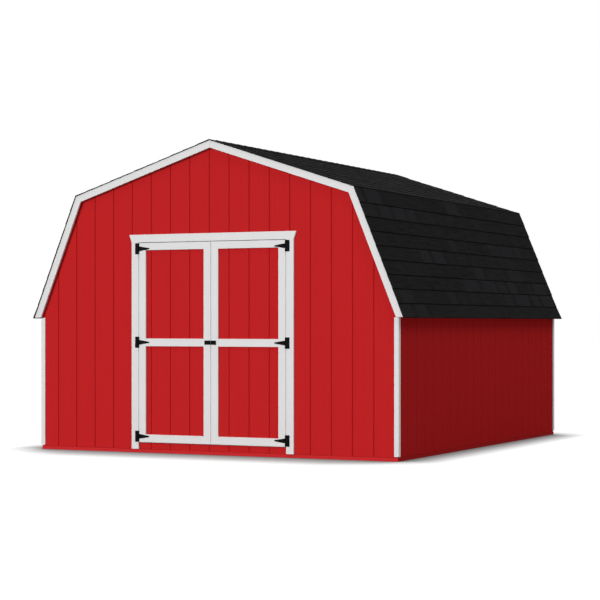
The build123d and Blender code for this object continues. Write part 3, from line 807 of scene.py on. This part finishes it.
def make_starter(exposure, foot, lap):
    """The strip under a first course, a metre wide: it carries the course from this lap upwards."""
    head = 2 * HEAD - BUTT - SEAT
    strip = add_block("starter_master", (-0.5, lap, 0), (0.5, exposure, foot))
    edit(strip)
    pick(strip, "VERT", lambda place: place.y > lap + SEAT and place.z > SEAT)
    bpy.ops.transform.translate(value=(0, 0, head - foot))
    leave_edit()
    return strip


def tab_runs(sizes, draw):
    """Tabs along one course, as (start, end, tone): some runs of neighbours share a paler tone."""
    place = -verge_half - draw.uniform(0, sizes.tab_longest)
    run_left = 0
    tabs = []
    while place < verge_half:
        if run_left == 0:
            pale = draw.random() < PALE_SHARE
            run_left = draw.choice(PALE_RUNS if pale else DARK_RUNS)
            tone = draw.uniform(*(PALE_TONES if pale else DARK_TONES))
        width = draw.uniform(sizes.tab_shortest, sizes.tab_longest)
        gap = draw.uniform(*TAB_GAPS)
        start = max(place, -verge_half)
        end = min(place + width, verge_half)
        if end - start > SHORTEST_END:
            tabs.append((start, end, tone))
        place += width + gap
        run_left -= 1
    return tabs


def lay_strips(sizes, draw, course_place, shift, master):
    """Shingle lengths along one course, their joints shifted by a share of a length."""
    joints = [-verge_half]
    joint = -verge_half + sizes.shingle_length * shift
    while joint < verge_half - sizes.tab_shortest:
        joints.append(joint)
        joint += sizes.shingle_length
    joints.append(verge_half)
    return [
        copy_piece(master, spanning(course_place, low, high, SEAT), draw.uniform(*SHEET_TONES))
        for low, high in zip(joints, joints[1:])]


def lay_course(sizes, draw, course_place, shift, shingle, tab):
    """One course: its lengths of shingle and the tabs laminated on them."""
    return lay_strips(sizes, draw, course_place, shift, shingle) + [
        copy_piece(tab, spanning(course_place, low, high), tone)
        for low, high, tone in tab_runs(sizes, draw)]


def trim_along(pieces, point, normal):
    """Cuts off what lies past a plane, piece by piece, and closes each cut end."""
    for piece in pieces:
        if any((vert.co - point).dot(normal) > 0 for vert in piece.data.vertices):
            edit(piece)
            bpy.ops.mesh.select_all(action="SELECT")
            bpy.ops.mesh.bisect(plane_co=point, plane_no=normal, use_fill=True, clear_outer=True)
            leave_edit()


class SHED_OT_shingles(bpy.types.Operator):
    """Lays laminated shingles, course by course, over both pitches of each side"""

    bl_idname = "shed.shingles"
    bl_label = "Lay the shingles"

    def execute(self, context):
        sizes = context.scene.shed_sizes
        exposure = sizes.exposure
        granules = asphalt_granules("asphalt_granules", context.scene.shed_colours)
        starter = make_starter(exposure, EAVE_BUTT - BUTT + HEAD - SEAT, 0.0)
        filler = make_starter(exposure, HEAD - 2 * SEAT, KNUCKLE_LAP)
        at_eave, steep, below_knuckle, over_knuckle, shallow = kinds = [
            (make_shingle(exposure, *kind), make_tab(exposure, *kind))
            for kind in (
                (EAVE_BUTT, SHADOW_BAND, True), (BUTT, SHADOW_BAND, True), (BUTT, 0.0, True),
                (BUTT, SHALLOW_BAND, False), (BUTT, SHALLOW_BAND, True))]
        steep_count = round(steep_cover / exposure)
        shallow_count = round((shallow_cover - cap_high.x + KNUCKLE_LAP) / exposure)
        slopes = (
            (eave - drip * steep_up, steep_up, 0.0, starter,
             [at_eave] + [steep] * (steep_count - 2) + [below_knuckle]),
            (knuckle, shallow_up, -KNUCKLE_LAP, filler,
             [over_knuckle] + [shallow] * (shallow_count - 1)),
        )
        for side, hand in ((1, "right"), (-1, "left")):
            draw = random.Random(f"{hand} slope")
            mitre = Vector((side * (steep_up.x + shallow_up.x), 0, steep_up.z + shallow_up.z))
            bend = Vector((side * knuckle.x, 0, knuckle.z))
            roof = []
            for foot, up, start, under, courses in slopes:
                place = slope_place(foot, up, side) @ Matrix.Translation((0, start, 0))
                pieces = lay_strips(sizes, draw, place, UNDER_JOINT, under)
                for course, (shingle, tab) in enumerate(courses):
                    shift = FIRST_JOINT + JOINT_STEP * (course % 3)
                    pieces += lay_course(sizes, draw, place, shift, shingle, tab)
                    place = place @ Matrix.Translation((0, exposure, 0))
                if up is shallow_up:
                    pieces += lay_strips(sizes, draw, place, UNDER_JOINT, shallow[0])
                    trim_along(pieces, ridge, Vector((-side, 0, 0)))
                else:
                    trim_along(pieces, bend, mitre)
                roof += pieces
            slope = join_pieces(f"laminated_shingles_{hand}", roof)
            hand_over(slope, "shell", "roof_shingles", granules, f"shingles_{hand}")
        discard(starter, filler, *[master for kind in kinds for master in kind])
        return {"FINISHED"}


def make_cap(length, lifted):
    """One ridge cap piece: a cut shingle bent over the ridge, its near end lifted by the next one."""
    leg = cap_high.x
    fall = -shallow_up.z / shallow_up.x
    cap = add_block("cap_master", (-leg, 0, -CAP_THICK), (leg, length, 0))
    edit(cap)
    bpy.ops.mesh.select_all(action="SELECT")
    bpy.ops.mesh.bisect(plane_co=(0, 0, 0), plane_no=(1, 0, 0))
    pick(cap, "VERT", lambda place: abs(place.x) > SEAT)
    bpy.ops.transform.translate(value=(0, 0, -leg * fall))
    pick(cap, "EDGE", lambda middle: abs(middle.x) < SEAT and abs(middle.y - length / 2) < SEAT)
    bpy.ops.mesh.bevel(offset=CAP_BEND, segments=3)
    pick(cap, "VERT", lambda place: place.y > length / 2 or not lifted)
    bpy.ops.transform.translate(value=(0, 0, -CAP_THICK - SEAT))
    leave_edit()
    return cap


class SHED_OT_ridge_cap(bpy.types.Operator):
    """Bends a row of cap pieces over the ridge, each lapped on the one behind it"""

    bl_idname = "shed.ridge_cap"
    bl_label = "Cap the ridge"

    def execute(self, context):
        sizes = context.scene.shed_sizes
        granules = asphalt_granules("cap_granules", context.scene.shed_colours)
        count = math.ceil(2 * verge_half / sizes.cap_exposure)
        exposure = 2 * verge_half / count
        first, later = make_cap(exposure, False), make_cap(exposure, True)
        top = ridge.z + (BUTT + 2 * CAP_THICK) / -shallow_up.x
        draw = random.Random("ridge cap")
        pieces = []
        for i in range(count):
            place = Matrix.Translation((0, -verge_half + i * exposure, min(top, cap_high.z)))
            pieces.append(copy_piece(later if i else first, place, draw.uniform(*CAP_TONES)))
        capping = join_pieces("ridge_cap_shingles", pieces)
        hand_over(capping, "shell", "roof_shingles", granules, "ridge_cap")
        discard(first, later)
        return {"FINISHED"}


# Nails and screws


def start_head(sides, radius, proud):
    """A disc half sunk in the face under it, being edited with its top selected."""
    bpy.ops.object.select_all(action="DESELECT")
    bpy.ops.mesh.primitive_cylinder_add(
        vertices=sides, radius=radius, depth=2 * proud, location=(0, 0, 0))
    head = bpy.context.active_object
    edit(head)
    pick(head, "FACE", lambda middle: middle.z > proud / 2)
    return head


def make_nail_head(radius, proud):
    """A driven nail's head: a low disc with a slightly domed top."""
    nail = start_head(10, radius, proud)
    bpy.ops.mesh.inset(thickness=radius * 0.4)
    bpy.ops.transform.translate(value=(0, 0, proud * 0.4))
    leave_edit()
    return nail


def make_screw_head():
    """A black pan-head screw with a square drive."""
    radius, proud, drive = 0.0042, 0.0018, 0.0012
    screw = start_head(16, radius, proud)
    bpy.ops.mesh.bevel(offset=proud * 0.5, segments=2)
    leave_edit()
    cutter = add_block("drive_cutter", (-drive, -drive, proud / 3), (drive, drive, 2 * proud))
    select_only(screw)
    cut = screw.modifiers.new("square_drive", "BOOLEAN")
    cut.operation = "DIFFERENCE"
    cut.object = cutter
    bpy.ops.object.modifier_apply(modifier=cut.name)
    discard(cutter)
    return screw


def drive_all(name, master, spots, body, slot, material):
    """Copies a head to every spot, given as (point, facing), and joins them."""
    heads = [copy_piece(master, facing_place(*spot)) for spot in spots]
    hand_over(join_pieces(name, heads), body, slot, material)


def along_line(start, end, spacing):
    """Points from start to end, evenly spaced at no more than this spacing."""
    start, end = Vector(start), Vector(end)
    bays = max(1, math.ceil((end - start).length / spacing))
    return [start.lerp(end, i / bays) for i in range(bays + 1)]


def under_fascia(x):
    """Height of the fascia's lower edge over a place on an end wall."""
    steep = eave.z + (eave.x - abs(x)) * steep_up.z / -steep_up.x + FASCIA_WIDTH / steep_up.x
    shallow = ridge.z - abs(x) * shallow_up.z / -shallow_up.x + FASCIA_WIDTH / shallow_up.x
    return min(steep, shallow)


def off_groove(x):
    """Moves a nail line of an end wall clear of the nearest groove."""
    groove = GROOVE_SHIFT + GROOVE_PITCH * round((x - GROOVE_SHIFT) / GROOVE_PITCH)
    aside = x - groove
    return x if abs(aside) > GROOVE_MARGIN else groove + math.copysign(GROOVE_MARGIN, aside)


def wall_nails(x, face, foot, spacing):
    """Nails up one stud line of an end wall, from this height to just under the fascia."""
    line = off_groove(x)
    top = under_fascia(line) - TOP_MARGIN
    return along_line((line, face, foot), (line, face, top), spacing)


class SHED_OT_siding_nails(bpy.types.Operator):
    """Nails the siding to the studs, with painted heads along every stud line"""

    bl_idname = "shed.siding_nails"
    bl_label = "Nail the siding"

    def execute(self, context):
        spacing = context.scene.shed_sizes.nail_spacing
        nail = make_nail_head(*SIDING_NAIL)
        low = base_top + FOOT_MARGIN
        corner = -corner_face.x - CORNER_MARGIN
        front, back, right, left = [], [], [], []
        over_door = [0.0, KING_STUD * SHORT_STUD, KING_STUD]
        for sign in (-1, 1):
            for x in even_places(KING_STUD, corner, STUD_PITCH)[1:-1]:
                front += wall_nails(sign * x, front_face, low, spacing)
            for x in over_door[1 if sign > 0 else 0:]:
                front += wall_nails(sign * x, front_face, header_high.z + TOP_MARGIN, spacing)
        for x in even_places(-corner, corner, STUD_PITCH)[1:-1]:
            back += wall_nails(x, back_face, low, spacing)
        for y in even_places(-stud_line, stud_line, STUD_PITCH):
            for face, line in ((side_face, right), (-side_face, left)):
                line += along_line((face, y, low), (face, y, eave.z - TOP_MARGIN), spacing)
        for name, points, facing in (
                ("front", front, (0, -1, 0)), ("back", back, (0, 1, 0)),
                ("right", right, (1, 0, 0)), ("left", left, (-1, 0, 0))):
            spots = [(point, facing) for point in points]
            paint = bpy.data.materials[f"{name}_siding_paint"]
            drive_all(f"{name}_siding_nails", nail, spots, "shell", "red_siding", paint)
        discard(nail)
        return {"FINISHED"}


def board_nails(start, end, aside, spacing):
    """Pairs of nails along a board, this far to both sides of its middle line."""
    points = along_line(start, end, spacing)
    return [point + side * Vector(aside) for point in points for side in (-1, 1)]


def fascia_nails(low, high, side, face, spacing):
    """Pairs of nails along one fascia board, under a roof line that runs from low to high."""
    up = (high - low).normalized()
    down = Vector((-up.z, 0, up.x)) * FASCIA_WIDTH / 2
    aside = Vector((up.z, 0, -up.x)) * FASCIA_PAIR
    start, stop, aside = (
        Vector((side * place.x, 0, place.z))
        for place in (low + END_MARGIN * up + down, high - END_MARGIN * up + down, aside))
    start.y = stop.y = face
    return board_nails(start, stop, aside, spacing)


def door_nails(side, spacing):
    """Pairs of nails along the stiles and rails of the door on this side, clear of its hinges."""
    points = []
    for line in (stile_low.x + TRIM_WIDTH / 2, stile_high.x - TRIM_WIDTH / 2):
        points += board_nails(
            (side * line, trim_face, stile_low.z + STILE_MARGIN),
            (side * line, trim_face, stile_high.z - STILE_MARGIN), (TRIM_PAIR, 0, 0), spacing)
    heights = hinge_heights()
    rails = (stile_low.z + TRIM_WIDTH / 2, heights[1], stile_high.z - TRIM_WIDTH / 2)
    inner, outer = stile_low.x + RAIL_MARGINS[0], stile_high.x - RAIL_MARGINS[1]
    for height in rails:
        points += board_nails(
            (side * inner, trim_face, height), (side * outer, trim_face, height),
            (0, 0, TRIM_PAIR), spacing)
    return [
        point for point in points
        if abs(point.x) < stile_high.x - HINGE_REACH
        or all(abs(point.z - height) > HINGE_MARGIN for height in heights)]


class SHED_OT_trim_nails(bpy.types.Operator):
    """Nails the white boards with small painted finish nails"""

    bl_idname = "shed.trim_nails"
    bl_label = "Nail the trim"

    def execute(self, context):
        spacing = context.scene.shed_sizes.trim_nail_spacing
        paint = bpy.data.materials["trim_paint"]
        nail = make_nail_head(*TRIM_NAIL)
        casing = casing_edge - CASING_LINE
        corner_low, corner_high = base_top + END_MARGIN, eave.z - END_MARGIN
        spots = []
        for end in (-1, 1):
            points = []
            for side in (-1, 1):
                corner = -side * (corner_face.x + CORNER_LINE)
                face = -end * corner_face.y
                points += along_line(
                    (corner, face, corner_low), (corner, face, corner_high), spacing)
                for low, high in ((eave, knuckle), (knuckle, ridge)):
                    points += fascia_nails(low, high, side, -end * fascia_face, spacing)
                if end < 0:
                    foot, top = CASING_NAILS
                    points += along_line(
                        (side * casing, trim_face, foot), (side * casing, trim_face, top), spacing)
            spots += [(point, (0, end, 0)) for point in points]
        middle = (header_low.z + header_high.z) / 2
        header = board_nails(
            (-casing, trim_face, middle), (casing, trim_face, middle), (0, 0, TRIM_PAIR), spacing)
        spots += [(point, (0, -1, 0)) for point in header]
        for side in (-1, 1):
            for end in (-1, 1):
                line = -end * (corner_face.y + CORNER_LINE)
                face = -side * corner_face.x
                points = along_line((face, line, corner_low), (face, line, corner_high), spacing)
                spots += [(point, (side, 0, 0)) for point in points]
        drive_all("trim_nails", nail, spots, "shell", "white_trim", paint)

        for side, hand in ((-1, "left"), (1, "right")):
            spots = [(point, (0, -1, 0)) for point in door_nails(side, spacing)]
            drive_all(f"{hand}_door_nails", nail, spots, f"{hand}_door", "white_trim", paint)
        discard(nail)
        return {"FINISHED"}


def hinge_heights():
    """Heights of the three hinges of a door, read from the straps and the pulls."""
    straps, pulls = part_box("door_right_hinge_straps"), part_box("door_right_latch")
    middle = (pulls[0].z + pulls[1].z) / 2
    return (straps[0].z + STRAP_ROOT / 2, middle, straps[1].z - STRAP_ROOT / 2)


class SHED_OT_screws(bpy.types.Operator):
    """Screws the hinges and the pulls to the casings and the doors"""

    bl_idname = "shed.screws"
    bl_label = "Screw the door iron on"

    def execute(self, context):
        iron = bpy.data.materials["door_iron_coat"]
        screw = make_screw_head()
        front = (0, -1, 0)
        face = trim_face - HINGE_METAL
        plates = []
        for side, hand in ((-1, "left"), (1, "right")):
            straps = []
            for height in hinge_heights():
                for reach, up in PLATE_SCREWS:
                    plates.append(((side * (jamb_line + reach), face, height + up), front))
                for reach, up in STRAP_SCREWS:
                    straps.append(((side * (jamb_line - reach), face, height + up), front))
            pull_low, pull_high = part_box(f"door_{hand}_latch")
            inset, half_height = PULL_SCREWS
            outer = max(abs(pull_low.x), abs(pull_high.x)) - inset
            middle = (pull_low.z + pull_high.z) / 2
            for up in (-half_height, half_height):
                straps.append(((side * outer, face, middle + up), front))
            drive_all(
                f"{hand}_door_screws", screw, straps, f"{hand}_door", "black_iron", iron)
        drive_all("hinge_plate_screws", screw, plates, "shell", "black_iron", iron)
        discard(screw)
        return {"FINISHED"}


# Camera, lamps and floor


WHITE = (1.0, 1.0, 1.0, 1.0)

# The world's light on the shed, where 1 is the white of the backdrop
SKY_LIGHT = 0.24

# The floor's painted contact shadow round the shed, a soft dark rim: how far it reaches, how much
# # further before the doors, over what distance that grows, how fast it fades, and the white that it
# # fades to
RIM_REACH = 0.43
RIM_MORE = 0.32
RIM_GROWS_BEFORE = 0.3
RIM_GROWS_BESIDE = (0.1, -0.5)
RIM_POWER = 3.2
RIM_WHITE = 0.96

# The floor's paint: its grey for the light that it throws on the shed, and where it is seen
THROWN_GREY = (0.5, 0.5, 0.5, 1.0)
SEEN_GREY = (0.15, 0.15, 0.15, 1.0)

# Sun lamps, as (name, azimuth, elevation, strength, softness): all soft, the brightest one low and
# nearly in front, one high on the right, and one behind
LAMPS = (
    ("key_lamp", 15, 11, 2.1, 25), ("top_lamp", -60, 53, 0.8, 30),
    ("back_fill_lamp", 160, 35, 0.6, 30))

# The camera: level, at eye height and 18 m off, with a long lens
CAMERA_PLACE = (7.852, -16.364, 1.188)
CAMERA_TURN = 0.4551
LENS = 107.65
LENS_SHIFT = (0.00035, 0.0394)


def aim(azimuth, elevation):
    """Rotation of a lamp that shines from this side: azimuth from the front towards the left."""
    turn, rise = math.radians(azimuth), math.radians(elevation)
    source = Vector((
        -math.sin(turn) * math.cos(rise), -math.cos(turn) * math.cos(rise), math.sin(rise)))
    return source.to_track_quat("Z", "Y").to_euler()


def empty_tree(owner):
    """The node tree of a world or a material, with nothing in it."""
    owner.use_nodes = True
    owner.node_tree.nodes.clear()
    return owner.node_tree


def backdrop_rays(tree):
    """1 for the rays that show the backdrop: the camera's, and those off gloss and through glass."""
    path = add_node(tree, "LightPath").outputs
    seen = path["Is Camera Ray"]
    for ray in ("Is Glossy Ray", "Is Transmission Ray"):
        seen = add_node(tree, "Math", (seen, path[ray]), operation="MAXIMUM")
    return seen


def rim_shade(tree):
    """How white the floor glows: a painted contact shadow, darker close to the shed, and from further
    off before its doors.
    """
    place = axes(tree)
    before = add_node(tree, "MapRange", (place["Y"], front_face, front_face - RIM_GROWS_BEFORE))
    aside = add_node(tree, "Math", (place["X"],), operation="ABSOLUTE")
    none, full = (side_face + grown for grown in RIM_GROWS_BESIDE)
    beside = add_node(tree, "MapRange", (aside, none, full))
    more = add_node(tree, "Math", (before, beside), operation="MULTIPLY")
    reach = add_node(tree, "Math", (more, RIM_MORE, RIM_REACH), operation="MULTIPLY_ADD")
    open_share = add_node(
        tree, "AmbientOcclusion", {"Distance": reach}, samples=16).outputs["AO"]
    faded = add_node(tree, "Math", (open_share, RIM_POWER), operation="POWER")
    return add_node(tree, "Math", (faded, RIM_WHITE), operation="MULTIPLY")


class SHED_OT_stage(bpy.types.Operator):
    """Sets up the white studio floor, the soft lamps and the camera"""

    bl_idname = "shed.stage"
    bl_label = "Set the stage"

    def execute(self, context):
        scene = context.scene
        scene.view_settings.view_transform = "Standard"

        scene.world = bpy.data.worlds.new("studio")
        tree = empty_tree(scene.world)
        light = add_node(tree, "Background", (WHITE, SKY_LIGHT))
        backdrop = add_node(tree, "Background", (WHITE, 1.0))
        both = add_node(tree, "MixShader", (backdrop_rays(tree), light, backdrop))
        add_node(tree, "OutputWorld", (both,))

        bpy.ops.object.select_all(action="DESELECT")
        bpy.ops.mesh.primitive_plane_add(size=160, location=(0, 0, -0.001))
        floor = context.active_object
        floor.name = "studio_floor"
        material = bpy.data.materials.new("studio_floor_paint")
        tree = empty_tree(material)
        seen = backdrop_rays(tree)
        # The floor glows white where it is seen, dimmed by the painted contact shadow.
        strength = add_node(tree, "Math", (rim_shade(tree), seen), operation="MULTIPLY")
        glow = add_node(tree, "Emission", (WHITE, strength))
        grey = add_node(tree, "Mix", (seen, THROWN_GREY, SEEN_GREY), data_type="RGBA")
        paint = add_node(tree, "BsdfDiffuse", (grey,))
        both = add_node(tree, "AddShader", (paint, glow))
        add_node(tree, "OutputMaterial", (both,))
        floor.data.materials.append(material)

        for name, azimuth, elevation, strength, softness in LAMPS:
            bpy.ops.object.light_add(type="SUN", rotation=aim(azimuth, elevation))
            lamp = context.active_object
            lamp.name = name
            lamp.data.energy = strength
            lamp.data.angle = math.radians(softness)

        bpy.ops.object.camera_add(
            location=CAMERA_PLACE, rotation=(math.pi / 2, 0, CAMERA_TURN))
        camera = context.active_object
        camera.data.lens = LENS
        camera.data.sensor_width = 36
        camera.data.shift_x, camera.data.shift_y = LENS_SHIFT
        scene.camera = camera
        return {"FINISHED"}


class SHED_PT_panel(bpy.types.Panel):
    """Lists the shed's sizes, colours and building steps"""

    bl_idname = "SHED_PT_panel"
    bl_label = "Gambrel shed"
    bl_space_type = "VIEW_3D"
    bl_region_type = "UI"
    bl_category = "Shed"

    def draw(self, context):
        for group in (context.scene.shed_sizes, context.scene.shed_colours):
            for name in group.bl_rna.properties.keys():
                if name not in ("rna_type", "name"):
                    self.layout.prop(group, name)
        for step in STEPS:
            self.layout.operator(step.bl_idname)


STEPS = (
    SHED_OT_stage,
    SHED_OT_finishes,
    SHED_OT_shingles,
    SHED_OT_ridge_cap,
    SHED_OT_siding_nails,
    SHED_OT_trim_nails,
    SHED_OT_screws,
)
CLASSES = (ShedSizes, ShedColours, *STEPS, SHED_PT_panel)


def register():
    for made in CLASSES:
        bpy.utils.register_class(made)
    bpy.types.Scene.shed_sizes = bpy.props.PointerProperty(type=ShedSizes)
    bpy.types.Scene.shed_colours = bpy.props.PointerProperty(type=ShedColours)


def unregister():
    del bpy.types.Scene.shed_colours
    del bpy.types.Scene.shed_sizes
    for made in reversed(CLASSES):
        bpy.utils.unregister_class(made)


def main():
    register()
    bpy.ops.shed.stage()
    bpy.ops.shed.finishes()
    bpy.ops.shed.shingles()
    bpy.ops.shed.ridge_cap()
    bpy.ops.shed.siding_nails()
    bpy.ops.shed.trim_nails()
    bpy.ops.shed.screws()


if __name__ == "__main__":
    main()
